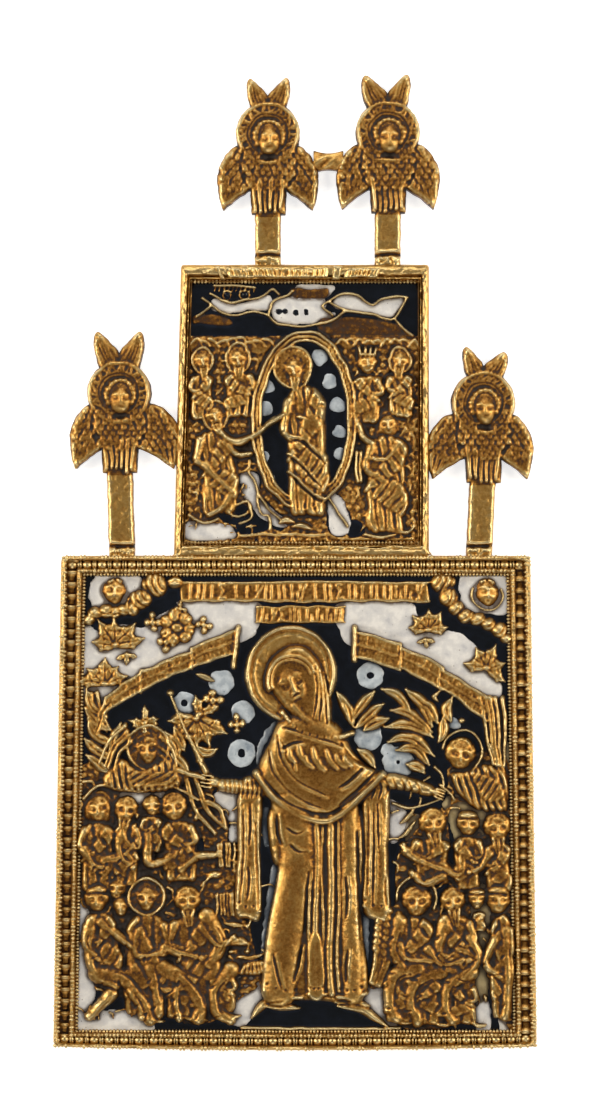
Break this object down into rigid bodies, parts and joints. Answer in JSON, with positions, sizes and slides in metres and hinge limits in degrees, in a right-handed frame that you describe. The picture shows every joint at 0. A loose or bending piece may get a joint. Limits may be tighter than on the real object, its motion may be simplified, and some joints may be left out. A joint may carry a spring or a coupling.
{
  "type": "cast brass travelling icon",
  "caption": "Thin cast brass travelling icon with beaded border, enamel-filled relief plates and winged heads on posts, lying on its flat back.",
  "frame": {"origin": "under the middle of the bounding box, on the surface that the flat back lies on", "axes": "+X to the right of the front, +Y from the foot of the lower plate to the winged heads at the top, +Z out of the relief"},
  "size_m": [0.0677, 0.1369, 0.0044],
  "materials": {
    "gilt_brass": "cast and gilded, polished on the high points, dark brown patina in the recesses",
    "white_enamel": "opaque fused glass, glossy, pitted",
    "dark_enamel": "opaque blue-black fused glass, glossy"
  },
  "bodies": {
    "root": {"icon_casting": "gilt_brass", "white_enamel_lower_sky_left": "white_enamel", "white_enamel_lower_sky_right": "white_enamel", "white_enamel_lower_lap_left": "white_enamel", "white_enamel_lower_foot_right": "white_enamel", "white_enamel_upper_sky_middle": "white_enamel", "white_enamel_upper_foot_left": "white_enamel", "dark_enamel_lower_ground_left": "dark_enamel", "dark_enamel_lower_halo_left": "dark_enamel", "dark_enamel_lower_halo_right": "dark_enamel", "dark_enamel_lower_foot_middle": "dark_enamel", "dark_enamel_upper_almond_left": "dark_enamel", "dark_enamel_upper_almond_right": "dark_enamel"}
  },
  "joints": []
}
